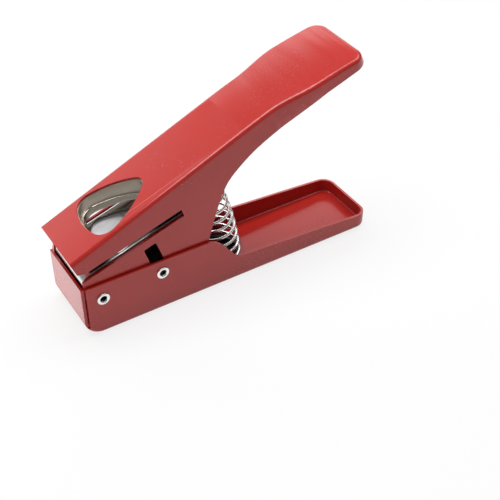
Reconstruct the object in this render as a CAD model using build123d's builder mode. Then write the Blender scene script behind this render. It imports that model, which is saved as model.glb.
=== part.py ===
from build123d import *
import os
from math import acos, atan2, cos, degrees, pi, radians, sin, sqrt, tan

os.makedirs("parts", exist_ok=True)

# A hand punch that cuts guitar picks out of plastic card.
# X runs from the card mouth (-X) to the grip (+X), Z is up.
# The origin is the middle of the base's flat underside.
# The handle is drawn open, as its spring holds it.

# Base: one pressed tray of sheet steel, high at the front and low behind
base_length = 156.4
base_width = 36.2
sheet = 1.2
wall_over_pivot = 8.0
flange_over_pivot = 7.6
flange_bend = 8.5
side_bend = 2.0
corner_gap = 0.15
corner_relief = 0.6
corner_foot = 5.0
step_crest = 67.7
step_foot = 79.0
tray_wall_front = 13.0
tray_wall_rear = 7.4
step_crest_round = 12.0
step_foot_round = 4.0
tray_corner = 6.5
edge_break = 0.25

# Hinge and stroke: the plates stand at rest_angle and lie level when squeezed
pivot_setback = 9.5
pivot_height = 20.1
drive_setback = 39.3
drive_over_pivot = 1.5
rest_angle = 17.8
rivet_outer = 5.0
rivet_bore = 2.9
rivet_head = 6.1
rivet_proud = 0.8
rivet_head_round = 0.35
running_gap = 0.05

# Handle shell: pressed sheet, a channel in front and a closed grip behind
shell_length = 159.9
shell_width = 33.2
grip_width = 39.4
shell_bend = 2.0
top_tilt = 6.0
nose_back = 4.6
nose_rise = 25.4
crown_start = 95.0
crown_radius = 320.0
widen_run = 50.9
grip_run = 25.9
grip_end_narrowing = 0.5
grip_corner = 7.0
lobe_radius = 7.8
floor_gap = 2.3
stop_gap = 0.5
foot_setback = 10.0
foot_reach = 49.7
# the lower edge from the throat to the grip, as shares of shell_length along and down
throat_share = (0.4034, -0.1882)
sweep_shares = (
    (0.4515, -0.1388),
    (0.4816, -0.1157),
    (0.5272, -0.0972),
    (0.5910, -0.0819),
    (0.6629, -0.0760),
    (0.7348, -0.0719),
    (0.7892, -0.0641),
    (0.8443, -0.0607),
    (0.9018, -0.0650),
)
past_end_share = (1.0313, -0.0741)

# Card slot and mouth, measured up from the plates' guide line
guide_top = 13.2
card_gap = 3.9
slot_end = 49.4
mouth_depth = 4.0
mouth_flare = 2.0
notch_top = 9.0
notch_round = 1.0
notch_play = 0.2

# Window and pick outline
pick_length = 30.5
pick_width = 26.0
pick_tip_round = 4.0
pick_shoulder_round = 6.4
pick_front_arc = 27.0
pick_side_arc = 44.0
window_margin = 0.9
window_setback = 15.0
punch_fit = 0.05

# Die stack
stack_width = 28.9
die_front = 1.0
stack_rear = 57.0
die_plate_thick = 3.8
guide_thick = 4.0
die_relief = 0.3
lip_setback = 0.3
lip_over_pivot = 7.8
lip_nose = 4.5
lip_tail = 1.6
slot_end_gap = 0.4

# Screws
screw = 3.0
screw_head = 5.6
socket_width = 2.0
socket_depth = 1.3
stack_screw_length = 17.0
stack_screw_spread = 17.0
stack_screw_inset = 3.9
die_screw_length = 6.5
die_screw_inset = 4.6
die_screw_span = 34.0
die_screw_spread = 22.4

# Punch and carrier
face_below = 0.6
face_shear = 4.2
carrier_top_gap = 0.35
carrier_inset = 2.8
carrier_length = 26.0
carrier_width = 27.0
carrier_depth = 12.6
carrier_round = 1.2
sleeve_outer = 7.0
sleeve_gap = 0.1
sleeve_side_gap = 0.3
punch_screw_inset = 3.4
punch_screw_length = 18.0

# Return spring and its seats
wire = 1.3
coil_bottom = 24.0
coil_top = 11.0
spring_turns = 14
spring_setback = 78.2
seat_thick = 0.9
seat_rim = 2.6
seat_gap = 0.35
locator_thick = 0.9
locator_rim = 3.2

overrun = 5.0

# Derived places
front = -base_length / 2
half_base = base_width / 2
pivot_x = front + pivot_setback
wall_height = pivot_height + wall_over_pivot
flange_height = pivot_height + flange_over_pivot
drive_height = pivot_height + drive_over_pivot
lip_foot = pivot_height + lip_over_pivot
widen_start = shell_length - widen_run
widen_end = shell_length - grip_run
lever = sqrt((drive_setback - pivot_setback) ** 2 + drive_over_pivot**2)
lever_angle = degrees(atan2(drive_over_pivot, drive_setback - pivot_setback))
drive_out = lever * cos(radians(lever_angle - rest_angle))
drive_drop = lever * sin(radians(lever_angle - rest_angle))
drive_out_max = lever
stroke = lever * sin(radians(lever_angle)) - drive_drop
half_shell = shell_width / 2
half_grip = grip_width / 2
die_bottom = guide_top + card_gap
block_bottom = die_bottom + die_plate_thick
guide_bottom = guide_top - guide_thick
tilt = radians(top_tilt)
lean = radians(rest_angle)
shell_lean = radians(rest_angle + top_tilt)
wall_foot = -(pivot_height - sheet - floor_gap)
die_open = -nose_back + (window_setback + window_margin) * cos(tilt)
carrier_top = guide_bottom - carrier_top_gap - stroke
carrier_start = die_open + carrier_inset

# Planes: the stack seen from the side and from above, and the shell's top
pivot_point = Vector(pivot_x, 0, pivot_height)
along = Vector(cos(lean), 0, sin(lean))
upward = Vector(-sin(lean), 0, cos(lean))
side = Plane(origin=pivot_point, x_dir=along, z_dir=(0, -1, 0))
deck = Plane(origin=pivot_point, x_dir=along, z_dir=upward)
nose_point = pivot_point - along * nose_back + upward * nose_rise
shell_along = Vector(cos(shell_lean), 0, sin(shell_lean))
shell_upward = Vector(-sin(shell_lean), 0, cos(shell_lean))
shell_side = Plane(origin=nose_point, x_dir=shell_along, z_dir=(0, -1, 0))
shell_top = Plane(origin=nose_point, x_dir=shell_along, z_dir=shell_upward)
profile = Plane(origin=(front, 0, 0), x_dir=(1, 0, 0), z_dir=(0, -1, 0))


def deck_at(rise):
    return deck.offset(rise)


def stack_to_shell(out, rise):
    # a place of the stack, given along and across the shell's top
    shift_out = out + nose_back
    shift_rise = rise - nose_rise
    return (
        shift_out * cos(tilt) + shift_rise * sin(tilt),
        -shift_out * sin(tilt) + shift_rise * cos(tilt),
    )


def to_stack(setback, height):
    # a place of the base, given along and across the stack at rest
    shift = setback - pivot_setback
    lift = height - pivot_height
    return (shift * cos(lean) + lift * sin(lean), -shift * sin(lean) + lift * cos(lean))


def crown_drop(at, inset=0):
    # how far the shell's top has curved down at this place along it
    reach = crown_radius - inset
    return crown_radius - sqrt(reach**2 - (at - crown_start) ** 2)


def pick_outline(length, width, tip_round, shoulder_round):
    # four tangent arcs a side, with the wide end at the start and the tip at length
    shoulder_y = width / 2 - shoulder_round
    shoulder_x = pick_front_arc - sqrt((pick_front_arc - shoulder_round) ** 2 - shoulder_y**2)
    tip_x = length - tip_round
    to_shoulder = pick_side_arc - shoulder_round
    to_tip = pick_side_arc - tip_round
    span = sqrt((tip_x - shoulder_x) ** 2 + shoulder_y**2)
    heading = atan2(-shoulder_y, tip_x - shoulder_x)
    swing = acos((to_shoulder**2 + span**2 - to_tip**2) / (2 * to_shoulder * span))
    side_x = shoulder_x + to_shoulder * cos(heading - swing)
    side_y = shoulder_y + to_shoulder * sin(heading - swing)
    front_angle = atan2(shoulder_y, shoulder_x - pick_front_arc)
    shoulder_angle = atan2(shoulder_y - side_y, shoulder_x - side_x)
    tip_angle = atan2(-side_y, tip_x - side_x)

    def on(centre_x, centre_y, radius, angle, mirror=1):
        return (centre_x + radius * cos(angle), mirror * (centre_y + radius * sin(angle)))

    for flip in (1, -1):
        front_end = on(pick_front_arc, 0, pick_front_arc, front_angle, flip)
        front_mid = on(pick_front_arc, 0, pick_front_arc, (front_angle + pi) / 2, flip)
        ThreePointArc((0, 0), front_mid, front_end)
        shoulder_end = on(shoulder_x, shoulder_y, shoulder_round, shoulder_angle, flip)
        shoulder_mid = on(
            shoulder_x, shoulder_y, shoulder_round, (front_angle + shoulder_angle) / 2, flip
        )
        ThreePointArc(front_end, shoulder_mid, shoulder_end)
        side_end = on(side_x, side_y, pick_side_arc, tip_angle, flip)
        side_mid = on(side_x, side_y, pick_side_arc, (shoulder_angle + tip_angle) / 2, flip)
        ThreePointArc(shoulder_end, side_mid, side_end)
        tip_mid = on(tip_x, 0, tip_round, tip_angle / 2, flip)
        ThreePointArc(side_end, tip_mid, (length, 0))


def pick_sketch(plane, start, grow):
    # the pick's outline grown or shrunk all round, its wide end at start
    with BuildSketch(plane) as outline:
        with BuildLine(Location((start, 0))):
            pick_outline(pick_length, pick_width, pick_tip_round, pick_shoulder_round)
        make_face()
        if grow:
            offset(amount=grow)
    return outline.sketch


def tube_rivet(place_x, place_z):
    # a tube with both ends flared over the base's walls
    with BuildPart(Plane(origin=(place_x, 0, place_z), z_dir=(0, 1, 0))) as rivet:
        Cylinder(radius=rivet_outer / 2, height=base_width)
        with Locations((0, 0, half_base), (0, 0, -half_base)):
            Cylinder(radius=rivet_head / 2, height=2 * rivet_proud)
        Cylinder(radius=rivet_head / 2, height=base_width, mode=Mode.SUBTRACT)
        Cylinder(radius=rivet_outer / 2, height=base_width)
        Hole(radius=rivet_bore / 2)
        ends = rivet.faces().filter_by(Axis.Y).group_by(Axis.Y)
        fillet((ends[0].edges() + ends[-1].edges()), radius=rivet_head_round)
    return rivet.part


def flat_screw(plane, places, length):
    # countersunk screws: heads flush in the plane, shanks running up from it
    with BuildPart(plane) as screws:
        with Locations(*places):
            Cylinder(
                radius=screw / 2,
                height=length,
                align=(Align.CENTER, Align.CENTER, Align.MIN),
            )
            Cone(
                bottom_radius=screw_head / 2,
                top_radius=screw / 2,
                height=(screw_head - screw) / 2,
                align=(Align.CENTER, Align.CENTER, Align.MIN),
            )
        with BuildSketch(plane):
            with Locations(*places):
                RegularPolygon(radius=socket_width / 2, side_count=6)
        extrude(amount=socket_depth, mode=Mode.SUBTRACT)
    return screws.part


# base_tray: floor, front flange, side walls and the rounded tray end
def tray_form(inset):
    with BuildPart() as form:
        with BuildSketch(profile):
            with BuildLine():
                Polyline(
                    (inset, inset),
                    (base_length - inset, inset),
                    (base_length - inset, wall_height + inset * overrun),
                    (inset, wall_height + inset * overrun),
                    close=True,
                )
            make_face()
        extrude(amount=half_base - inset, both=True)
        fillet(
            form.edges().filter_by(Axis.Z).group_by(Axis.X)[-1],
            radius=tray_corner - inset,
        )
        fillet(
            form.edges().group_by(Axis.Z)[0].filter_by(Axis.Y).group_by(Axis.X)[0],
            radius=flange_bend - inset,
        )
        under = form.faces().sort_by(Axis.Z)[0].edges()
        fillet(under.filter_by(lambda e: e.center().X > front + flange_bend), side_bend - inset)
    return form.part


tray_outer = tray_form(0)
tray_inner = tray_form(sheet)

with BuildPart() as base_tray:
    add(tray_outer)
    add(tray_inner, mode=Mode.SUBTRACT)
    # the walls' upper line: level, an S-shaped step, then a slow fall to the rear
    with BuildSketch(profile):
        with BuildLine() as upper_line:
            FilletPolyline(
                (-overrun, wall_height),
                (step_crest, wall_height),
                (step_foot, tray_wall_front),
                (base_length + overrun, tray_wall_rear),
                radius=(step_crest_round, step_foot_round),
            )
            Polyline(
                upper_line.line @ 1,
                (base_length + overrun, -overrun),
                (-overrun, -overrun),
                upper_line.line @ 0,
            )
        make_face()
    extrude(amount=base_width, both=True, mode=Mode.INTERSECT)
    # the flange is its own tongue between the side walls
    with BuildSketch(Plane.YZ.offset(front)):
        with Locations((half_base, corner_foot), (-half_base, corner_foot)):
            Rectangle(
                2 * (sheet + corner_gap),
                wall_height,
                align=(Align.CENTER, Align.MIN),
            )
    extrude(amount=sheet + corner_relief, mode=Mode.SUBTRACT)
    with BuildSketch(Plane.YZ.offset(front)):
        with Locations((0, flange_height)):
            Rectangle(base_width, wall_height, align=(Align.CENTER, Align.MIN))
    extrude(amount=sheet + corner_relief, mode=Mode.SUBTRACT)
    # rivet holes through both walls
    with BuildSketch(profile):
        with Locations((pivot_setback, pivot_height), (drive_setback, drive_height)):
            Circle(rivet_outer / 2 + running_gap)
    extrude(amount=base_width, both=True, mode=Mode.SUBTRACT)

base_tray.part.label = "base_tray"
export_step(base_tray.part, "parts/base_tray.step")

# pivot_rivet: the hinge of the handle
pivot_rivet = tube_rivet(pivot_x, pivot_height)
pivot_rivet.label = "pivot_rivet"
export_step(pivot_rivet, "parts/pivot_rivet.step")

# drive_rivet: holds the punch at its height while the handle swings
drive_rivet = tube_rivet(front + drive_setback, drive_height)
drive_rivet.label = "drive_rivet"
export_step(drive_rivet, "parts/drive_rivet.step")

# drive_sleeve: the collar on the drive rivet that the carrier bears on
drive_plane = Plane(origin=(front + drive_setback, 0, drive_height), z_dir=(0, 1, 0))

with BuildPart(drive_plane) as drive_sleeve:
    Cylinder(radius=sleeve_outer / 2, height=shell_width - 2 * sheet - 2 * sleeve_side_gap)
    Hole(radius=rivet_outer / 2 + running_gap)
    chamfer(drive_sleeve.edges().filter_by(GeomType.CIRCLE), length=edge_break)

drive_sleeve.part.label = "drive_sleeve"
export_step(drive_sleeve.part, "parts/drive_sleeve.step")


# handle_shell: one pressing, a channel in front and a closed trough for the grip
def at_share(share):
    return (share[0] * shell_length, share[1] * shell_length)


def wall_front(rise):
    # the front edge of the walls, upright at rest, as a distance along the stack
    return (sheet + stop_gap - pivot_setback) / cos(lean) + rise * tan(lean)


foot_radius = sqrt(foot_setback**2 + wall_foot**2)
lobe_start = 2 * pi + atan2(wall_foot, foot_setback) - acos(lobe_radius / foot_radius)
lobe_end = pi - lean


def on_lobe(angle):
    return stack_to_shell(lobe_radius * cos(angle), lobe_radius * sin(angle))


def shell_form(inset):
    drop = crown_drop(shell_length - inset, inset)
    with BuildPart() as form:
        with BuildSketch(shell_side):
            with BuildLine():
                Polyline((-inset * overrun, -inset), (crown_start, -inset))
                TangentArc(
                    (crown_start, -inset), (shell_length - inset, -drop), tangent=(1, 0)
                )
                Polyline(
                    (shell_length - inset, -drop),
                    (shell_length - inset, -shell_length / 2),
                    (-inset * overrun - nose_back, -shell_length / 2),
                    (-inset * overrun - nose_back, -inset),
                    (-inset * overrun, -inset),
                )
            make_face()
        extrude(amount=half_grip + overrun, both=True)
        with BuildSketch(shell_top):
            with BuildLine() as half:
                Polyline(
                    (-shell_length, 0),
                    (-shell_length, half_shell - inset),
                    (widen_start, half_shell - inset),
                )
                Spline(
                    (widen_start, half_shell - inset),
                    (widen_end, half_grip - inset),
                    tangents=((1, 0), (1, 0)),
                )
                FilletPolyline(
                    (widen_end, half_grip - inset),
                    (shell_length - inset, half_grip - grip_end_narrowing - inset),
                    (shell_length - inset, 0),
                    radius=grip_corner - inset,
                )
                mirror(about=Plane.XZ)
            make_face()
        extrude(amount=shell_length, both=True, mode=Mode.INTERSECT)
        faces_up = form.faces().filter_by(
            lambda face: face.normal_at().dot(shell_upward) > cos(tilt + lean)
        )
        top = faces_up.edges()
        rim = top.filter_by(Axis.Y, reverse=True) + top.filter_by(Axis.Y).sort_by(Axis.X)[-1:]
        fillet(rim, radius=shell_bend - inset)
    return form.part


shell_outer = shell_form(0)
shell_inner = shell_form(sheet)

with BuildPart() as handle_shell:
    add(shell_outer)
    add(shell_inner, mode=Mode.SUBTRACT)
    # everything below the lower edge is cut away
    with BuildSketch(shell_side):
        with BuildLine():
            Polyline(
                (0, 0),
                stack_to_shell(wall_front(guide_top), guide_top),
                on_lobe(lobe_end),
            )
            ThreePointArc(
                on_lobe(lobe_end), on_lobe((lobe_start + lobe_end) / 2), on_lobe(lobe_start)
            )
            Polyline(
                on_lobe(lobe_start),
                stack_to_shell(foot_setback, wall_foot),
                stack_to_shell(foot_reach, wall_foot),
                at_share(throat_share),
            )
            Spline(
                at_share(throat_share),
                *[at_share(share) for share in sweep_shares],
                tangents=(
                    Vector(*at_share(throat_share)) - Vector(*stack_to_shell(foot_reach, wall_foot)),
                    Vector(*at_share(past_end_share)) - Vector(*at_share(sweep_shares[-1])),
                ),
            )
            Polyline(
                at_share(sweep_shares[-1]),
                at_share(past_end_share),
                (past_end_share[0] * shell_length, overrun),
                (0, overrun),
                (0, 0),
            )
        make_face()
    extrude(amount=half_grip + overrun, both=True, mode=Mode.INTERSECT)
    # card slot with its flared mouth
    with BuildSketch(side):
        with BuildLine():
            Polyline(
                (slot_end, guide_top),
                (slot_end, die_bottom),
                (mouth_depth - nose_back, die_bottom),
                (-nose_back, die_bottom + mouth_flare),
                (-nose_back - overrun, die_bottom + mouth_flare),
                (-nose_back - overrun, guide_top),
                close=True,
            )
        make_face()
    extrude(amount=half_grip, both=True, mode=Mode.SUBTRACT)
    # notches that straddle the drive rivet
    with BuildSketch(side):
        with BuildLine() as notch:
            FilletPolyline(
                (drive_out - rivet_outer / 2 - notch_play, wall_foot - overrun),
                (drive_out - rivet_outer / 2 - notch_play, notch_top),
                (drive_out_max + rivet_outer / 2 + notch_play, notch_top),
                (drive_out_max + rivet_outer / 2 + notch_play, wall_foot - overrun),
                radius=notch_round,
            )
            Line(notch.line @ 1, notch.line @ 0)
        make_face()
        Circle(rivet_outer / 2 + running_gap)
    extrude(amount=half_grip, both=True, mode=Mode.SUBTRACT)
    # pick window through the top
    add(pick_sketch(deck_at(block_bottom), die_open, window_margin))
    extrude(amount=wall_height, dir=upward, mode=Mode.SUBTRACT)

handle_shell.part.label = "handle_shell"
export_step(handle_shell.part, "parts/handle_shell.step")


def shell_under(out):
    # the underside of the shell's top over a place along the stack
    return nose_rise + (out + nose_back) * tan(tilt) - sheet / cos(tilt)


def screw_room(plane, places, length):
    # the countersunk hole that flat_screw fills, cut from the plane upwards
    with Locations(plane):
        with Locations(*places):
            Cylinder(
                radius=screw / 2,
                height=length,
                align=(Align.CENTER, Align.CENTER, Align.MIN),
                mode=Mode.SUBTRACT,
            )
            Cone(
                bottom_radius=screw_head / 2,
                top_radius=screw / 2,
                height=(screw_head - screw) / 2,
                align=(Align.CENTER, Align.CENTER, Align.MIN),
                mode=Mode.SUBTRACT,
            )


die_screw_spots = [
    (die_front + die_screw_inset + shift, turn * die_screw_spread / 2)
    for shift in (0, die_screw_span)
    for turn in (1, -1)
]
stack_screw_spots = [
    (stack_rear - stack_screw_inset, turn * stack_screw_spread / 2) for turn in (1, -1)
]
punch_screw_spots = [
    (carrier_start + punch_screw_inset, 0),
    (carrier_start + carrier_length - punch_screw_inset, 0),
]

# die_block: the wedge that fills the room between the shell's top and the die plate
with BuildPart() as die_block:
    with BuildSketch(side):
        with BuildLine():
            Polyline(
                (die_front, block_bottom),
                (die_front, shell_under(die_front)),
                (stack_rear, shell_under(stack_rear)),
                (stack_rear, block_bottom),
                close=True,
            )
        make_face()
    extrude(amount=stack_width / 2, both=True)
    add(pick_sketch(deck_at(block_bottom), die_open, window_margin - die_relief))
    extrude(amount=wall_height, dir=upward, mode=Mode.SUBTRACT)
    screw_room(deck_at(die_bottom), die_screw_spots, die_screw_length)
    screw_room(deck_at(guide_bottom), stack_screw_spots, stack_screw_length)

die_block.part.label = "die_block"
export_step(die_block.part, "parts/die_block.step")

# die_plate: the hardened plate with the sharp pick hole
with BuildPart() as die_plate:
    with BuildSketch(deck_at(die_bottom)):
        with Locations((die_front, 0)):
            Rectangle(stack_rear - die_front, stack_width, align=(Align.MIN, Align.CENTER))
    extrude(amount=die_plate_thick)
    add(pick_sketch(deck_at(die_bottom), die_open, 0))
    extrude(amount=die_plate_thick, dir=upward, mode=Mode.SUBTRACT)
    screw_room(deck_at(die_bottom), die_screw_spots, die_screw_length)
    screw_room(deck_at(guide_bottom), stack_screw_spots, stack_screw_length)

die_plate.part.label = "die_plate"
export_step(die_plate.part, "parts/die_plate.step")

# die_screws: hold the die plate up against the block
die_screws = flat_screw(deck_at(die_bottom), die_screw_spots, die_screw_length)
die_screws.label = "die_screws"
export_step(die_screws, "parts/die_screws.step")

# rear_spacer: sets the height of the card gap and stops the card
with BuildPart() as rear_spacer:
    with BuildSketch(deck_at(guide_top)):
        with Locations((slot_end + slot_end_gap, 0)):
            Rectangle(
                stack_rear - slot_end - slot_end_gap, stack_width, align=(Align.MIN, Align.CENTER)
            )
    extrude(amount=card_gap)
    screw_room(deck_at(guide_bottom), stack_screw_spots, stack_screw_length)

rear_spacer.part.label = "rear_spacer"
export_step(rear_spacer.part, "parts/rear_spacer.step")

# guide_plate: guides the punch and carries the card, with a rounded lead-in lip
with BuildPart() as guide_plate:
    with BuildSketch(side):
        with BuildLine():
            Polyline(
                (stack_rear, guide_bottom),
                (stack_rear, guide_top),
                (wall_front(guide_top) + lip_setback / cos(lean), guide_top),
                to_stack(sheet + stop_gap + lip_setback, lip_foot),
                (wall_front(guide_bottom) + lip_tail, guide_bottom),
                close=True,
            )
        make_face()
    extrude(amount=stack_width / 2, both=True)
    nose = guide_plate.edges().filter_by(Axis.Y).group_by(Axis.X)[0]
    fillet(nose.sort_by(Axis.Z)[-1], radius=lip_nose)
    add(pick_sketch(deck_at(guide_bottom), die_open, 0))
    extrude(amount=guide_thick, dir=upward, mode=Mode.SUBTRACT)
    screw_room(deck_at(guide_bottom), stack_screw_spots, stack_screw_length)

guide_plate.part.label = "guide_plate"
export_step(guide_plate.part, "parts/guide_plate.step")

# stack_screws: clamp guide plate, spacer and die plate up to the block
stack_screws = flat_screw(deck_at(guide_bottom), stack_screw_spots, stack_screw_length)
stack_screws.label = "stack_screws"
export_step(stack_screws, "parts/stack_screws.step")

# punch_carrier: the block under the punch, with the cross slot for the drive sleeve
carrier_bottom = carrier_top - carrier_depth

with BuildPart() as punch_carrier:
    with BuildSketch(deck_at(carrier_bottom)):
        with Locations((carrier_start, 0)):
            RectangleRounded(
                carrier_length,
                carrier_width,
                carrier_round,
                align=(Align.MIN, Align.CENTER),
            )
    extrude(amount=carrier_depth)
    with BuildSketch(side):
        with Locations(((drive_out + drive_out_max) / 2, drive_drop)):
            SlotCenterToCenter(
                drive_out_max - drive_out + 2 * sleeve_side_gap,
                sleeve_outer + 2 * sleeve_gap,
            )
    extrude(amount=carrier_width, both=True, mode=Mode.SUBTRACT)
    screw_room(deck_at(carrier_bottom), punch_screw_spots, punch_screw_length)

punch_carrier.part.label = "punch_carrier"
export_step(punch_carrier.part, "parts/punch_carrier.step")

# punch: pick-shaped, its face ground aslant so it shears from the wide end
with BuildPart() as punch:
    with BuildSketch(side):
        with BuildLine():
            Polyline(
                (die_open, carrier_top),
                (die_open, guide_top - face_below),
                (
                    die_open + pick_length,
                    guide_top - face_below - pick_length * tan(radians(face_shear)),
                ),
                (die_open + pick_length, carrier_top),
                close=True,
            )
        make_face()
    extrude(amount=pick_width / 2, both=True)
    add(pick_sketch(deck_at(carrier_top), die_open, -punch_fit))
    extrude(amount=guide_top - carrier_top, dir=upward, mode=Mode.INTERSECT)
    screw_room(deck_at(carrier_bottom), punch_screw_spots, punch_screw_length)

punch.part.label = "punch"
export_step(punch.part, "parts/punch.step")

# punch_screws: pull the punch down onto its carrier
punch_screws = flat_screw(deck_at(carrier_bottom), punch_screw_spots, punch_screw_length)
punch_screws.label = "punch_screws"
export_step(punch_screws, "parts/punch_screws.step")

# return spring: a cone of wire that leans forward to stand square under the handle
spring_foot = Vector(front + spring_setback, 0, sheet + wire / 2)
spring_gap = (nose_point - spring_foot).dot(shell_upward) - sheet - seat_thick - wire / 2
bend_radius = spring_gap / sin(shell_lean)


def spring_axis(turn):
    # centre, outward and sideways directions of the leaning axis at this angle
    centre = spring_foot + Vector(cos(turn) - 1, 0, sin(turn)) * bend_radius
    return centre, Vector(cos(turn), 0, sin(turn)), Vector(0, 1, 0)


def coil_point(share):
    centre, outward, sideways = spring_axis(shell_lean * share)
    radius = (coil_bottom + (coil_top - coil_bottom) * share - wire) / 2
    angle = 2 * pi * spring_turns * share
    return centre + (outward * cos(angle) + sideways * sin(angle)) * radius


def coil_tangent(share):
    step = 1 / (spring_turns * 360)
    return (coil_point(share + step) - coil_point(share - step)).normalized()


def biarc_joint(start, start_way, end, end_way):
    # where, and heading which way, two equal-reach tangent arcs between two places meet
    span = end - start
    spread = 2 * (1 - start_way.dot(end_way))
    along_both = span.dot(start_way + end_way)
    reach = (-along_both + sqrt(along_both**2 + spread * span.dot(span))) / spread
    first_corner = start + start_way * reach
    second_corner = end - end_way * reach
    return (first_corner + second_corner) / 2, (second_corner - first_corner).normalized()


quarters = 4 * spring_turns
coil_stops = [coil_point(number / quarters) for number in range(quarters + 1)]
coil_ways = [coil_tangent(number / quarters) for number in range(quarters + 1)]

with BuildPart() as return_spring:
    with BuildLine() as coil:
        for number in range(quarters):
            middle, middle_way = biarc_joint(
                coil_stops[number], coil_ways[number], coil_stops[number + 1], coil_ways[number + 1]
            )
            TangentArc(coil_stops[number], middle, tangent=coil_ways[number])
            TangentArc(middle, coil_stops[number + 1], tangent=middle_way)
    with BuildSketch(coil.line ^ 0):
        Circle(wire / 2)
    sweep()

return_spring.part.label = "return_spring"
export_step(return_spring.part, "parts/return_spring.step")

# the least gap between turns, on points of the wire's middle line
points_per_turn = 24
middle_line = [
    coil_point(number / (points_per_turn * spring_turns))
    for number in range(points_per_turn * spring_turns + 1)
]
least_gap = min(
    (middle_line[one] - middle_line[other]).length
    for one in range(len(middle_line))
    for other in range(one + points_per_turn // 2, len(middle_line))
)
print("least gap of the spring to itself", round(least_gap - wire, 3), "mm")

# spring_seat: the pressed cup under the handle that centres the small end
seat_plane = shell_top.offset(-sheet - seat_thick)
seat_centre = seat_plane.to_local_coords(spring_axis(shell_lean)[0])

with BuildPart() as spring_seat:
    with BuildSketch(seat_plane):
        with Locations((seat_centre.X, seat_centre.Y)):
            Circle(coil_top / 2 + seat_rim / 2)
    extrude(amount=seat_thick)
    with BuildSketch(seat_plane):
        with Locations((seat_centre.X, seat_centre.Y)):
            Circle(coil_top / 2 - wire - seat_gap)
            Circle(coil_top / 2 - wire - seat_gap - seat_thick, mode=Mode.SUBTRACT)
    extrude(amount=-seat_rim)

spring_seat.part.label = "spring_seat"
export_step(spring_seat.part, "parts/spring_seat.step")

# spring_locator: the pressed cup on the tray floor that centres the large end
locator_plane = Plane(origin=(front + spring_setback, 0, sheet))

with BuildPart() as spring_locator:
    with BuildSketch(locator_plane):
        Circle(coil_bottom / 2 - wire - seat_gap)
    extrude(amount=locator_thick)
    with BuildSketch(locator_plane.offset(locator_thick)):
        Circle(coil_bottom / 2 - wire - seat_gap)
        Circle(coil_bottom / 2 - wire - seat_gap - locator_thick, mode=Mode.SUBTRACT)
    extrude(amount=locator_rim)

spring_locator.part.label = "spring_locator"
export_step(spring_locator.part, "parts/spring_locator.step")
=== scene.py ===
"""Guitar pick punch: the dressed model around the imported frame."""

import math

import bmesh
import bpy
from mathutils import Matrix, Vector


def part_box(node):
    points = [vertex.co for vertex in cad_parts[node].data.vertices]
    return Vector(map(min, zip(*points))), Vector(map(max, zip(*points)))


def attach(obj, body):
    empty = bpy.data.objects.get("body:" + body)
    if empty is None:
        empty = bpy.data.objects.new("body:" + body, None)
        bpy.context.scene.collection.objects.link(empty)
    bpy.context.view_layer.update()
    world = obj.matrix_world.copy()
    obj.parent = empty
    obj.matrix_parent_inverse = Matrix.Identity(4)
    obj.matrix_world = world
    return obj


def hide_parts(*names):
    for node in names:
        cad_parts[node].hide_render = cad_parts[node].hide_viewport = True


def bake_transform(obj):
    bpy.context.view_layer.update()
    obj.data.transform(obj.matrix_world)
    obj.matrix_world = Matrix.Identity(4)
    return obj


bl_info = {
    "name": "Guitar Pick Punch",
    "version": (1, 0, 0),
    "blender": (4, 5, 0),
    "location": "View3D > Sidebar > Pick Punch",
    "description": "Dresses the pick punch's frame with paint, plating, spring and rivets",
    "category": "Object",
}

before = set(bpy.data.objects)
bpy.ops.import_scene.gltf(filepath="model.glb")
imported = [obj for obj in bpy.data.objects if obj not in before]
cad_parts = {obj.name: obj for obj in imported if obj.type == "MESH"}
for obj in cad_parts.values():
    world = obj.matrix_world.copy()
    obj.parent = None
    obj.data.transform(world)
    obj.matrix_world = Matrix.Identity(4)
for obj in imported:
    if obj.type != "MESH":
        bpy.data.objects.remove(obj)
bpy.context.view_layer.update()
MM = 0.001


def middle(node):
    """The middle of a frame node's box."""
    low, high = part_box(node)
    return (Vector(low) + Vector(high)) / 2


def side(node):
    """How far a frame node reaches to the far side."""
    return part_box(node)[1][1]


PIVOT = middle("pivot_rivet")
DRIVE = middle("drive_rivet")
SPRING_FOOT = middle("spring_locator")
SHEET = 1.2 * MM

# leans of the open handle: its plates, its top, and the shear of the punch's face to the plates
PLATE_LEAN = math.radians(17.8)
TOP_LEAN = math.radians(23.8)
FACE_SHEAR = math.radians(4.2)
FACE_LEAN = PLATE_LEAN - FACE_SHEAR

# the front edge of the punch's face, over and behind the pivot along the plates
FACE_OVER_PIVOT = 12.6 * MM
FACE_PAST_PIVOT = 11.213 * MM
FACE_RISE = FACE_OVER_PIVOT * math.cos(FACE_SHEAR) + FACE_PAST_PIVOT * math.sin(FACE_SHEAR)

# half the band about a noise's middle in which a broad or a fine noise turns from low to high
BROAD_BAND = 0.15
FINE_BAND = 0.2


# settings


def colour_property(name, description, default):
    """A colour that a user may change."""
    return bpy.props.FloatVectorProperty(
        name=name, description=description, subtype="COLOR", size=3, min=0, max=1, default=default
    )


def length_property(name, description, millimetres):
    """A length that a user may change."""
    return bpy.props.FloatProperty(
        name=name, description=description, default=millimetres * MM, unit="LENGTH", precision=5
    )


def power_property(name, watts):
    """A lamp's power that a user may change."""
    return bpy.props.FloatProperty(name=name, description="Power of the lamp", default=watts, unit="POWER")


class PaintSettings(bpy.types.PropertyGroup):
    """The red coat on both pressings."""

    colour: colour_property("Coat", "Colour of the coat", (0.49, 0.0215, 0.0155))
    mottle: colour_property("Mottle", "Colour that the coat varies to", (0.45, 0.0185, 0.0135))
    speck: colour_property("Specks", "Colour of the rubbed specks", (0.60, 0.16, 0.13))
    # painted shade: a dark colour painted round the spring's foot for the shade seen through the spring's
    # gaps
    spring_shade: colour_property("Spring shade", "Colour of the coat where it is darkened as painted shade", (0.030, 0.006, 0.005))
    roughness: bpy.props.FloatProperty(
        name="Roughness", description="Roughness of the coat", subtype="FACTOR", default=0.23, min=0, max=1
    )
    edge_round: length_property("Edge rounding", "Rounding of the sheet's coated edges", 0.22)


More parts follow.
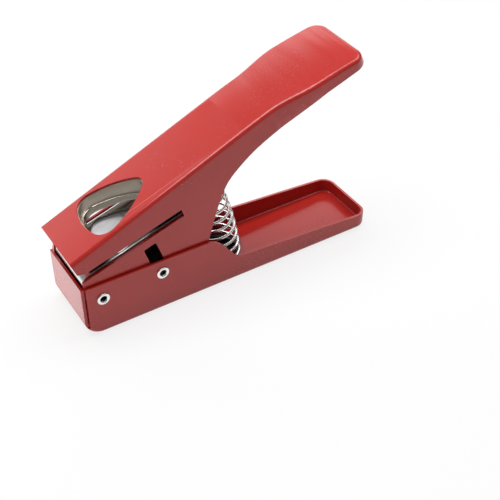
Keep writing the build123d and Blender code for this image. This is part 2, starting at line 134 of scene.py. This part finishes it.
class MetalSettings(bpy.types.PropertyGroup):
    """The bare, plated and blackened metals."""

    plating: colour_property("Plating", "Colour of the plated plates", (0.64, 0.58, 0.49))
    bright: colour_property("Bright steel", "Colour of rivets and spring wire", (0.93, 0.93, 0.92))
    ground: colour_property("Ground face", "Colour of the punch's ground face", (0.70, 0.72, 0.75))
    black: colour_property("Blackening", "Colour of the blackened metal", (0.030, 0.029, 0.032))
    rubbed: colour_property("Rubbed black", "Colour of the rubbed blackening", (0.05, 0.05, 0.052))


class RivetSettings(bpy.types.PropertyGroup):
    """The two tube rivets."""

    tube: length_property("Tube", "Outer diameter of the tube", 5.0)
    bore: length_property("Bore", "Diameter of the open bore", 2.9)
    rim_round: length_property("Rim", "Rounding of the head's rim", 0.35)
    lip_round: length_property("Lip", "Rounding of the rolled lip at the bore", 0.62)


class SpringSettings(bpy.types.PropertyGroup):
    """The conical return spring."""

    wire: length_property("Wire", "Diameter of the wire", 1.3)
    large_coil: length_property("Large coil", "Outer diameter at the tray", 24.0)
    small_coil: length_property("Small coil", "Outer diameter under the handle", 11.0)
    turns: bpy.props.IntProperty(name="Turns", description="Number of turns", default=14, min=3)
    bend_radius: length_property("Lean radius", "Radius of the curve on which the spring leans", 165.61)


class StageSettings(bpy.types.PropertyGroup):
    """Camera, lamps and floor."""

    lens: bpy.props.FloatProperty(name="Lens", description="Focal length", default=74.073, unit="CAMERA")
    key_power: power_property("Key lamp", 5.9)
    side_power: power_property("Side lamp", 4.8)
    back_power: power_property("Back lamp", 6.0)
    card_power: power_property("Front card", 0.013)
    world_level: bpy.props.FloatProperty(
        name="World", description="Strength of the world", default=0.19, min=0
    )


# material nodes


def shaded(colour, share):
    """A colour at a share of its strength."""
    return tuple(channel * share for channel in colour)


class Shader:
    """Lays out the nodes of one material."""

    def __init__(self, name):
        self.material = bpy.data.materials.new(name)
        self.material.use_nodes = True
        self.tree = self.material.node_tree
        self.tree.nodes.clear()
        self.out = self.add("ShaderNodeOutputMaterial")
        self.coat = self.add("ShaderNodeBsdfPrincipled")
        self.link(self.coat.outputs[0], self.out.inputs[0])
        self.place = self.add("ShaderNodeTexCoord").outputs["Object"]

    def add(self, kind, **values):
        node = self.tree.nodes.new(kind)
        for key, value in values.items():
            setattr(node, key, value)
        return node

    def link(self, start, end):
        self.tree.links.new(start, end)

    def axes(self):
        """The object's own X, Y and Z."""
        split = self.add("ShaderNodeSeparateXYZ")
        self.link(self.place, split.inputs[0])
        return split.outputs

    def noise(self, scale, detail=2.0, rough=0.5, place=None):
        """A noise over the object's own place, or over a stretched one."""
        node = self.add("ShaderNodeTexNoise")
        node.inputs["Scale"].default_value = scale
        node.inputs["Detail"].default_value = detail
        node.inputs["Roughness"].default_value = rough
        self.link(place or self.place, node.inputs["Vector"])
        return node.outputs["Fac"]

    def stretched(self, stretch, turn=0.0):
        """The object's place, stretched along the leaning plates and turned about their height."""
        node = self.add("ShaderNodeMapping")
        node.inputs["Rotation"].default_value = (0, -PLATE_LEAN, turn)
        node.inputs["Scale"].default_value = stretch
        self.link(self.place, node.inputs["Vector"])
        return node.outputs[0]

    def span(self, value, start, end, at_start=0.0, at_end=1.0):
        """A value's run from start to end, as a run between two other values."""
        node = self.add("ShaderNodeMapRange")
        node.inputs["From Min"].default_value = start
        node.inputs["From Max"].default_value = end
        node.inputs["To Min"].default_value = at_start
        node.inputs["To Max"].default_value = at_end
        self.link(value, node.inputs["Value"])
        return node.outputs[0]

    def broad(self, noise, low=0.0, high=1.0):
        """A broad noise between two values."""
        return self.span(noise, 0.5 - BROAD_BAND, 0.5 + BROAD_BAND, low, high)

    def fine(self, noise, low=0.0, high=1.0):
        """A fine noise between two values."""
        return self.span(noise, 0.5 - FINE_BAND, 0.5 + FINE_BAND, low, high)

    def mix(self, factor, one, two):
        """A colour between two others."""
        node = self.add("ShaderNodeMix", data_type="RGBA")
        for slot, value in ((0, factor), (6, one), (7, two)):
            if isinstance(value, bpy.types.NodeSocket):
                self.link(value, node.inputs[slot])
            elif slot:
                node.inputs[slot].default_value = (*value, 1)
            else:
                node.inputs[slot].default_value = value
        return node.outputs[2]

    def math(self, kind, one, two=0.0):
        """A sum of one or two values, of the kind that is asked for."""
        node = self.add("ShaderNodeMath", operation=kind)
        for slot, value in enumerate((one, two)):
            if isinstance(value, bpy.types.NodeSocket):
                self.link(value, node.inputs[slot])
            else:
                node.inputs[slot].default_value = value
        return node.outputs[0]

    def sum(self, one, two):
        return self.math("ADD", one, two)

    def product(self, one, two):
        return self.math("MULTIPLY", one, two)

    def bump(self, height, distance, strength, below=None):
        """Raises the coat by a height, over another bump where one is given."""
        node = self.add("ShaderNodeBump")
        node.inputs["Strength"].default_value = strength
        node.inputs["Distance"].default_value = distance
        self.link(height, node.inputs["Height"])
        if below:
            self.link(below, node.inputs["Normal"])
        self.link(node.outputs[0], self.coat.inputs["Normal"])
        return node.outputs[0]

    def feed(self, **values):
        """Sets or links the coat's inputs by name."""
        for key, value in values.items():
            socket = self.coat.inputs[key.replace("_", " ")]
            if isinstance(value, bpy.types.NodeSocket):
                self.link(value, socket)
            elif hasattr(value, "__len__"):
                socket.default_value = (*value, 1)
            else:
                socket.default_value = value


# materials


def spring_shade_mask(s, ragged):
    """Where painted shade darkens the tray: a round mark at and behind the spring's foot, inside the
    walls, standing in for the shade seen through the spring's gaps.
    """
    back, across = 4 * MM, 7 * MM
    full, faded = 9.5 * MM, 13 * MM
    wall_full, wall_faded = 9 * MM, 14 * MM
    edge = 0.3 * MM
    wander = 0.5 * MM
    x, y, z = s.axes()
    from_x = s.math("SUBTRACT", x, SPRING_FOOT.x + back)
    from_y = s.math("SUBTRACT", y, across)
    away = s.math("SQRT", s.sum(s.math("POWER", from_x, 2), s.math("POWER", from_y, 2)))
    near = s.span(s.sum(away, s.span(ragged, 0, 1, -wander, wander)), full, faded, 1, 0)
    low = s.span(z, wall_full, wall_faded, 1, 0)
    above = s.span(z, SHEET / 2, SHEET / 2 + edge)
    inner = side("base_tray") - SHEET / 2
    inside = s.span(s.math("ABSOLUTE", y), inner - edge, inner, 1, 0)
    return s.product(s.product(near, low), s.product(above, inside))


def red_coat(settings):
    """Satin red coat: faint mottle, orange peel, a few rubbed specks, and painted shade at the spring's
    foot.
    """
    mottle_share = 0.8
    speck_start, speck_full, speck_share = 0.79, 0.83, 0.08
    rough_play = 0.03
    s = Shader("red_coat")
    cloud = s.broad(s.noise(scale=28, detail=3))
    grain = s.fine(s.noise(scale=900))
    colour = s.mix(s.product(cloud, mottle_share), settings.colour, settings.mottle)
    specks = s.span(s.noise(scale=420, detail=4, rough=0.65), speck_start, speck_full, 0, speck_share)
    colour = s.mix(specks, colour, settings.speck)
    # painted shade round the spring's foot
    colour = s.mix(spring_shade_mask(s, cloud), colour, settings.spring_shade)
    rough = s.span(cloud, 0, 1, settings.roughness - rough_play, settings.roughness + rough_play)
    rough = s.sum(rough, s.span(grain, 0, 1, -rough_play, rough_play))
    s.feed(Base_Color=colour, Roughness=rough, IOR=1.56)
    peel = s.bump(s.noise(scale=1500), distance=0.01 * MM, strength=0.15)
    s.bump(s.noise(scale=140), distance=0.05 * MM, strength=0.15, below=peel)
    return s.material


def ground_lines(s):
    """Fine grinding lines along the leaning plates."""
    return s.noise(scale=260, detail=4, rough=0.6, place=s.stretched((1, 18, 18)))


def plated(name, colour, roughness):
    """Ground and plated steel with fine lines."""
    dull_share = 0.82
    rough_play, haze_rough = 0.06, 0.05
    s = Shader(name)
    lines = ground_lines(s)
    haze = s.broad(s.noise(scale=45, detail=3))
    rough = s.fine(lines, roughness - rough_play, roughness + rough_play)
    rough = s.sum(rough, s.span(haze, 0, 1, 0, haze_rough))
    s.feed(Base_Color=s.mix(haze, colour, shaded(colour, dull_share)), Roughness=rough, Metallic=1)
    s.bump(lines, distance=0.01 * MM, strength=0.4)
    return s.material


def guide_shade_and_highlight(settings):
    """The guide plate: its plating taken dark as painted shade, with painted highlights in the bright
    steel colour along its lip and its sides.
    """
    lip_bright, lip_faded = 3.6 * MM, 5.2 * MM
    rim_faded, rim_bright = 0.9 * MM, 0.6 * MM
    wander = 0.4 * MM
    shade_share, dull_share = 0.28, 0.8
    lip_rough = 0.14
    s = Shader("guide_painted_shade_highlight")
    x, y, _ = s.axes()
    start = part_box("guide_plate")[0][0]
    ragged = s.sum(x, s.fine(s.noise(scale=160, detail=3), -wander, wander))
    # painted highlight on the lip, and below it on strips along the sides
    lip = s.span(ragged, start + lip_bright, start + lip_faded, 1, 0)
    edge = side("guide_plate")
    rim = s.span(s.math("ABSOLUTE", y), edge - rim_faded, edge - rim_bright)
    highlight_mask = s.math("MAXIMUM", lip, rim)
    lines = ground_lines(s)
    haze = s.broad(s.noise(scale=45, detail=3))
    # painted shade: the plating at a small share of its strength
    shaded_plating = shaded(settings.plating, shade_share)
    rough = s.sum(s.fine(lines, 0.18, 0.28), s.span(highlight_mask, 0, 1, 0, lip_rough))
    s.feed(
        Base_Color=s.mix(highlight_mask, s.mix(haze, shaded_plating, shaded(shaded_plating, dull_share)), settings.bright),
        Roughness=rough, Metallic=1,
    )
    s.bump(lines, distance=0.01 * MM, strength=0.4)
    return s.material


def bright_steel(settings, name, roughness):
    """Bright drawn or plated steel with faint drawing marks."""
    dull_share = 0.9
    s = Shader(name)
    marks = s.noise(scale=700, detail=3)
    cloud = s.broad(s.noise(scale=90))
    s.feed(
        Base_Color=s.mix(cloud, settings.bright, shaded(settings.bright, dull_share)),
        Roughness=s.fine(marks, roughness - 0.05, roughness + 0.07), Metallic=1,
    )
    s.bump(marks, distance=0.008 * MM, strength=0.3)
    return s.material


def blackened(settings, name):
    """Blackened metal with an oily sheen and rubbed patches."""
    rub_start, rub_full, rub_share = 0.62, 0.75, 0.5
    s = Shader(name)
    rub = s.span(s.noise(scale=160, detail=4), rub_start, rub_full, 0, rub_share)
    grain = s.noise(scale=900)
    s.feed(
        Base_Color=s.mix(rub, settings.black, settings.rubbed),
        Roughness=s.fine(grain, 0.30, 0.42), Metallic=0.4,
    )
    s.bump(grain, distance=0.01 * MM, strength=0.3)
    return s.material


def ground_punch(settings):
    """The punch: a ground, pale face and blackened sides."""
    dark_under, ground_from = 0.35 * MM, 0.2 * MM
    dull_share = 0.8
    s = Shader("ground_punch")
    x, _, z = s.axes()
    rise = s.sum(
        s.product(s.math("SUBTRACT", x, PIVOT.x), -math.sin(FACE_LEAN)),
        s.product(s.math("SUBTRACT", z, PIVOT.z), math.cos(FACE_LEAN)),
    )
    face = s.span(rise, FACE_RISE - dark_under, FACE_RISE - ground_from)
    lines = s.noise(scale=300, detail=3, rough=0.6, place=s.stretched((20, 1, 1), turn=0.5))
    cloud = s.broad(s.noise(scale=120, detail=3))
    ground = s.mix(cloud, settings.ground, shaded(settings.ground, dull_share))
    s.feed(
        Base_Color=s.mix(face, settings.black, ground),
        Roughness=s.sum(s.span(face, 0, 1, 0.36, 0.46), s.fine(lines, -0.04, 0.06)),
        Metallic=s.span(face, 0, 1, 0.4, 1),
    )
    s.bump(lines, distance=0.01 * MM, strength=0.4)
    return s.material


def white_floor():
    """A white floor that shows white and keeps a soft shadow."""
    shown_share = 0.8
    s = Shader("white_floor")
    s.feed(Base_Color=(0.82, 0.82, 0.82), Roughness=0.6, Specular_IOR_Level=0.1)
    glow = s.add("ShaderNodeEmission")
    glow.inputs["Strength"].default_value = 1
    paths = s.add("ShaderNodeLightPath")
    seen = s.math("MAXIMUM", paths.outputs["Is Camera Ray"], paths.outputs["Is Glossy Ray"])
    blend = s.add("ShaderNodeMixShader")
    s.link(s.product(seen, shown_share), blend.inputs[0])
    s.link(s.coat.outputs[0], blend.inputs[1])
    s.link(glow.outputs[0], blend.inputs[2])
    s.link(blend.outputs[0], s.out.inputs[0])
    return s.material


# pieces


def dress(node, material, edge_round=0.0):
    """Gives a frame node its material and, where asked, softly rounded edges."""
    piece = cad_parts[node]
    piece.data.materials.clear()
    piece.data.materials.append(material)
    if edge_round:
        sharp_degrees = 38
        weld = piece.modifiers.new("join", "WELD")
        weld.merge_threshold = 0.001 * MM
        soften = piece.modifiers.new("edges", "BEVEL")
        soften.width = edge_round
        soften.segments = 2
        soften.limit_method = "ANGLE"
        soften.angle_limit = math.radians(sharp_degrees)
        soften.harden_normals = False
        soften.miter_outer = "MITER_ARC"


def new_piece(name, verts, faces, material, smooth=True):
    """A mesh object with outward faces."""
    mesh = bpy.data.meshes.new(name)
    mesh.from_pydata([tuple(v) for v in verts], [], faces)
    mesh.materials.append(material)
    mesh.update()
    shape = bmesh.new()
    shape.from_mesh(mesh)
    bmesh.ops.recalc_face_normals(shape, faces=shape.faces)
    shape.to_mesh(mesh)
    shape.free()
    for face in mesh.polygons:
        face.use_smooth = smooth
    piece = bpy.data.objects.new(name, mesh)
    bpy.context.scene.collection.objects.link(piece)
    return piece


def lathe(profile, centre, axis, sides=72):
    """Verts and faces of a closed profile of (radius, along) turned about an axis."""
    axis = Vector(axis).normalized()
    out = axis.orthogonal().normalized()
    other = axis.cross(out)
    verts, faces = [], []
    count = len(profile)
    for step in range(sides):
        angle = 2 * math.pi * step / sides
        spoke = out * math.cos(angle) + other * math.sin(angle)
        for radius, along in profile:
            verts.append(Vector(centre) + spoke * radius + axis * along)
    for step in range(sides):
        here, there = step * count, (step + 1) % sides * count
        for number in range(count):
            following = (number + 1) % count
            faces.append((here + number, here + following, there + following, there + number))
    return verts, faces


def arc(centre, radius, start, end, steps):
    """Points of an arc in a profile, angles in degrees."""
    points = []
    for number in range(steps + 1):
        angle = math.radians(start + (end - start) * number / steps)
        points.append((centre[0] + radius * math.cos(angle), centre[1] + radius * math.sin(angle)))
    return points


def rivet_profile(settings):
    """The tube rivet's closed profile: radius, and distance from the punch's middle plane."""
    low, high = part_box("pivot_rivet")
    reach, head = high[1], (high[0] - low[0]) / 2
    wall = side("base_tray")
    tube, bore = settings.tube / 2, settings.bore / 2
    gap = 0.02 * MM
    rim, lip = settings.rim_round, settings.lip_round
    rim_foot = 0.3 * MM
    lip_middle = 0.75 * MM
    flare_end, flare_start = 0.6 * MM, 1.4 * MM
    half = [(tube, 0), (tube, wall + gap), (head - rim_foot, wall + gap)]
    half += arc((head - rim, wall + gap + rim), rim, start=-70, end=60, steps=5)
    half += arc((bore + lip_middle, reach - lip), lip, start=75, end=170, steps=7)
    half += [(bore + gap, wall - flare_end), (bore, wall - flare_start), (bore, 0)]
    return half + [(radius, -along) for radius, along in reversed(half[1:-1])]


def spring_line(settings, steps):
    """Middle line of the leaning, tapering coil, with so many steps to a turn."""
    foot = SPRING_FOOT.copy()
    foot.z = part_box("return_spring")[0][2] + settings.wire / 2
    count = steps * settings.turns
    line = []
    for number in range(count + 1):
        share = number / count
        lean = TOP_LEAN * share
        centre = foot + Vector((math.cos(lean) - 1, 0, math.sin(lean))) * settings.bend_radius
        outward = Vector((math.cos(lean), 0, math.sin(lean)))
        coil = settings.large_coil + (settings.small_coil - settings.large_coil) * share
        radius = (coil - settings.wire) / 2
        angle = 2 * math.pi * settings.turns * share
        line.append(centre + (outward * math.cos(angle) + Vector((0, 1, 0)) * math.sin(angle)) * radius)
    return line


def wire_mesh(line, radius, sides):
    """Verts and faces of a round wire along a line, with chamfered ends."""
    end_length_share, end_radius_share = 0.15, 0.8
    last = len(line) - 1
    tangents = [(line[min(n + 1, last)] - line[max(n - 1, 0)]).normalized() for n in range(last + 1)]
    rings = [(centre, tangent, radius) for centre, tangent in zip(line, tangents)]
    chamfer, end_radius = radius * end_length_share, radius * end_radius_share
    rings.insert(0, (line[0] - tangents[0] * chamfer, tangents[0], end_radius))
    rings.append((line[last] + tangents[last] * chamfer, tangents[last], end_radius))
    normal = tangents[0].orthogonal().normalized()
    verts, faces = [], []
    for centre, tangent, size in rings:
        normal = (normal - tangent * normal.dot(tangent)).normalized()
        across = tangent.cross(normal).normalized()
        for corner in range(sides):
            angle = 2 * math.pi * corner / sides
            verts.append(centre + (normal * math.cos(angle) + across * math.sin(angle)) * size)
    for here in range(0, len(verts) - sides, sides):
        for corner in range(sides):
            following = (corner + 1) % sides
            faces.append(
                (here + corner, here + following, here + sides + following, here + sides + corner)
            )
    faces.append(tuple(reversed(range(sides))))
    faces.append(tuple(range(len(verts) - sides, len(verts))))
    return verts, faces


# stage


def area_lamp(name, place, aim, size, power):
    """A rectangular lamp that the camera doesn't see."""
    lamp = bpy.data.lights.new(name, "AREA")
    lamp.shape = "RECTANGLE"
    lamp.size, lamp.size_y = size
    lamp.energy = power
    post = bpy.data.objects.new(name, lamp)
    post.location = place
    post.rotation_euler = (Vector(aim) - Vector(place)).to_track_quat("-Z", "Y").to_euler()
    post.visible_camera = False
    bpy.context.scene.collection.objects.link(post)


def studio_world(level):
    """A plain world that the camera sees white."""
    world = bpy.data.worlds.new("studio")
    world.use_nodes = True
    nodes, links = world.node_tree.nodes, world.node_tree.links
    nodes.clear()
    out = nodes.new("ShaderNodeOutputWorld")
    sky = nodes.new("ShaderNodeBackground")
    paths = nodes.new("ShaderNodeLightPath")
    seen = nodes.new("ShaderNodeMath")
    seen.operation = "MAXIMUM"
    links.new(paths.outputs["Is Camera Ray"], seen.inputs[0])
    links.new(paths.outputs["Is Transmission Ray"], seen.inputs[1])
    strength = nodes.new("ShaderNodeMapRange")
    strength.inputs["To Min"].default_value = level
    strength.inputs["To Max"].default_value = 1
    links.new(seen.outputs[0], strength.inputs["Value"])
    links.new(strength.outputs[0], sky.inputs["Strength"])
    sky.inputs["Color"].default_value = (1, 1, 1, 1)
    links.new(sky.outputs[0], out.inputs[0])
    return world


def photo_camera(lens):
    """The camera, turned to the punch's front left and raised over it."""
    turn, rise = math.radians(-31.87), math.radians(40.01)
    distance = 0.51296
    aim = Vector((0.018255, -0.0024616, 0))
    back = Vector((math.sin(turn) * math.cos(rise), -math.cos(turn) * math.cos(rise), math.sin(rise)))
    right = Vector((math.cos(turn), math.sin(turn), 0))
    up = back.cross(right)
    view = bpy.data.cameras.new("photo_camera")
    view.lens = lens
    view.sensor_width = 36
    view.shift_x, view.shift_y = -0.00344, -0.00552
    view.clip_start, view.clip_end = 0.01, 20
    camera = bpy.data.objects.new("photo_camera", view)
    facing = Matrix((right, up, back)).transposed().to_4x4()
    camera.matrix_world = Matrix.Translation(aim + back * distance) @ facing
    bpy.context.scene.collection.objects.link(camera)
    return camera


# operators


class PUNCH_OT_pressings(bpy.types.Operator):
    """Coats the base tray and the handle shell"""

    bl_idname = "punch.pressings"
    bl_label = "Pressings"

    def execute(self, context):
        settings = context.scene.punch_paint
        coat = red_coat(settings)
        for node in ("base_tray", "handle_shell"):
            dress(node, coat, settings.edge_round)
        return {"FINISHED"}


class PUNCH_OT_stack(bpy.types.Operator):
    """Finishes the plates, screws and punch in the handle"""

    bl_idname = "punch.stack"
    bl_label = "Plates and punch"

    def execute(self, context):
        metal = context.scene.punch_metal
        # painted light and shade: one plating taken brighter on the die block and darker on the die plate
        # and the rear spacer, as lit and shaded copies
        block_light_share, die_shade_share, spacer_shade_share = 1.22, 0.8, 0.4
        block = plated("plated_block", shaded(metal.plating, block_light_share), roughness=0.40)
        die = plated("plated_die", shaded(metal.plating, die_shade_share), roughness=0.17)
        dress("die_block", block, edge_round=0.2 * MM)
        dress("die_plate", die, edge_round=0.3 * MM)
        dress("guide_plate", guide_shade_and_highlight(metal), edge_round=0.5 * MM)
        dress("rear_spacer", plated("plated_spacer", shaded(metal.plating, spacer_shade_share), roughness=0.24))
        dress("punch", ground_punch(metal), edge_round=0.08 * MM)
        black = blackened(metal, "black_oxide")
        for node in ("punch_carrier", "die_screws", "stack_screws", "punch_screws"):
            dress(node, black)
        return {"FINISHED"}


class PUNCH_OT_rivets(bpy.types.Operator):
    """Turns the two tube rivets with their rolled heads"""

    bl_idname = "punch.rivets"
    bl_label = "Rivets"

    def execute(self, context):
        steel = bright_steel(context.scene.punch_metal, "rivet_steel", roughness=0.2)
        profile = rivet_profile(context.scene.punch_rivets)
        for node, place in (("pivot_rivet", PIVOT), ("drive_rivet", DRIVE)):
            verts, faces = lathe(profile, place, axis=(0, 1, 0))
            piece = new_piece("turned_" + node, verts, faces, steel)
            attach(piece, "base")
            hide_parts(node)
        dress("drive_sleeve", steel)
        return {"FINISHED"}


class PUNCH_OT_spring(bpy.types.Operator):
    """Winds the conical return spring and finishes its two cups"""

    bl_idname = "punch.spring"
    bl_label = "Return spring"

    def execute(self, context):
        settings, metal = context.scene.punch_spring, context.scene.punch_metal
        line = spring_line(settings, steps=36)
        verts, faces = wire_mesh(line, settings.wire / 2, sides=14)
        piece = new_piece("wound_spring", verts, faces, bright_steel(metal, "spring_wire", roughness=0.09))
        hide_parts("return_spring")
        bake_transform(piece)
        # painted shade: the two cups are blackened for the shade seen through the spring's gaps
        cup = blackened(metal, "cup_painted_shade")
        for node in ("spring_locator", "spring_seat"):
            dress(node, cup, edge_round=0.1 * MM)
        return {"FINISHED"}


class PUNCH_OT_stage(bpy.types.Operator):
    """Sets up the floor, lamps, world and camera"""

    bl_idname = "punch.stage"
    bl_label = "Stage"

    def execute(self, context):
        settings, scene = context.scene.punch_stage, context.scene
        scene.view_settings.view_transform = "Standard"
        reach = 3.0
        corners = [(-reach, -reach, 0), (reach, -reach, 0), (reach, reach, 0), (-reach, reach, 0)]
        floor = new_piece("floor", corners, [(0, 1, 2, 3)], white_floor(), smooth=False)
        scene.world = studio_world(settings.world_level)
        part = (0, 0, 0.02)
        key_x, key_y = -0.17, 0.14
        card_x, card_y = -0.110, 0.040
        area_lamp("key_lamp", place=(key_x, key_y, 0.85), aim=(key_x, key_y, 0), size=(0.62, 0.50),
                  power=settings.key_power)
        area_lamp("side_lamp", place=(0.55, 0.10, 0.95), aim=part, size=(0.7, 0.7),
                  power=settings.side_power)
        area_lamp("back_lamp", place=(0.10, 1.05, 0.66), aim=part, size=(2.0, 0.45),
                  power=settings.back_power)
        area_lamp("front_card", place=(card_x, card_y, 0.001), aim=(card_x, card_y, 1), size=(0.06, 0.10),
                  power=settings.card_power)
        scene.camera = photo_camera(settings.lens)
        return {"FINISHED"}


class PUNCH_PT_panel(bpy.types.Panel):
    """The pick punch's pieces and settings"""

    bl_idname = "PUNCH_PT_panel"
    bl_label = "Pick Punch"
    bl_space_type = "VIEW_3D"
    bl_region_type = "UI"
    bl_category = "Pick Punch"

    def draw(self, context):
        layout = self.layout
        for name in SETTINGS:
            group = getattr(context.scene, name)
            box = layout.box()
            for key in type(group).__annotations__:
                box.prop(group, key)
        for operator in OPERATORS:
            layout.operator(operator.bl_idname)


SETTINGS = {
    "punch_paint": PaintSettings,
    "punch_metal": MetalSettings,
    "punch_rivets": RivetSettings,
    "punch_spring": SpringSettings,
    "punch_stage": StageSettings,
}
OPERATORS = (PUNCH_OT_pressings, PUNCH_OT_stack, PUNCH_OT_rivets, PUNCH_OT_spring, PUNCH_OT_stage)


def register():
    for name, group in SETTINGS.items():
        bpy.utils.register_class(group)
        setattr(bpy.types.Scene, name, bpy.props.PointerProperty(type=group))
    for kind in (*OPERATORS, PUNCH_PT_panel):
        bpy.utils.register_class(kind)


def unregister():
    for kind in reversed((*OPERATORS, PUNCH_PT_panel)):
        bpy.utils.unregister_class(kind)
    for name, group in SETTINGS.items():
        delattr(bpy.types.Scene, name)
        bpy.utils.unregister_class(group)


def main():
    register()
    bpy.ops.punch.pressings()
    bpy.ops.punch.stack()
    bpy.ops.punch.rivets()
    bpy.ops.punch.spring()
    bpy.ops.punch.stage()


if __name__ == "__main__":
    main()
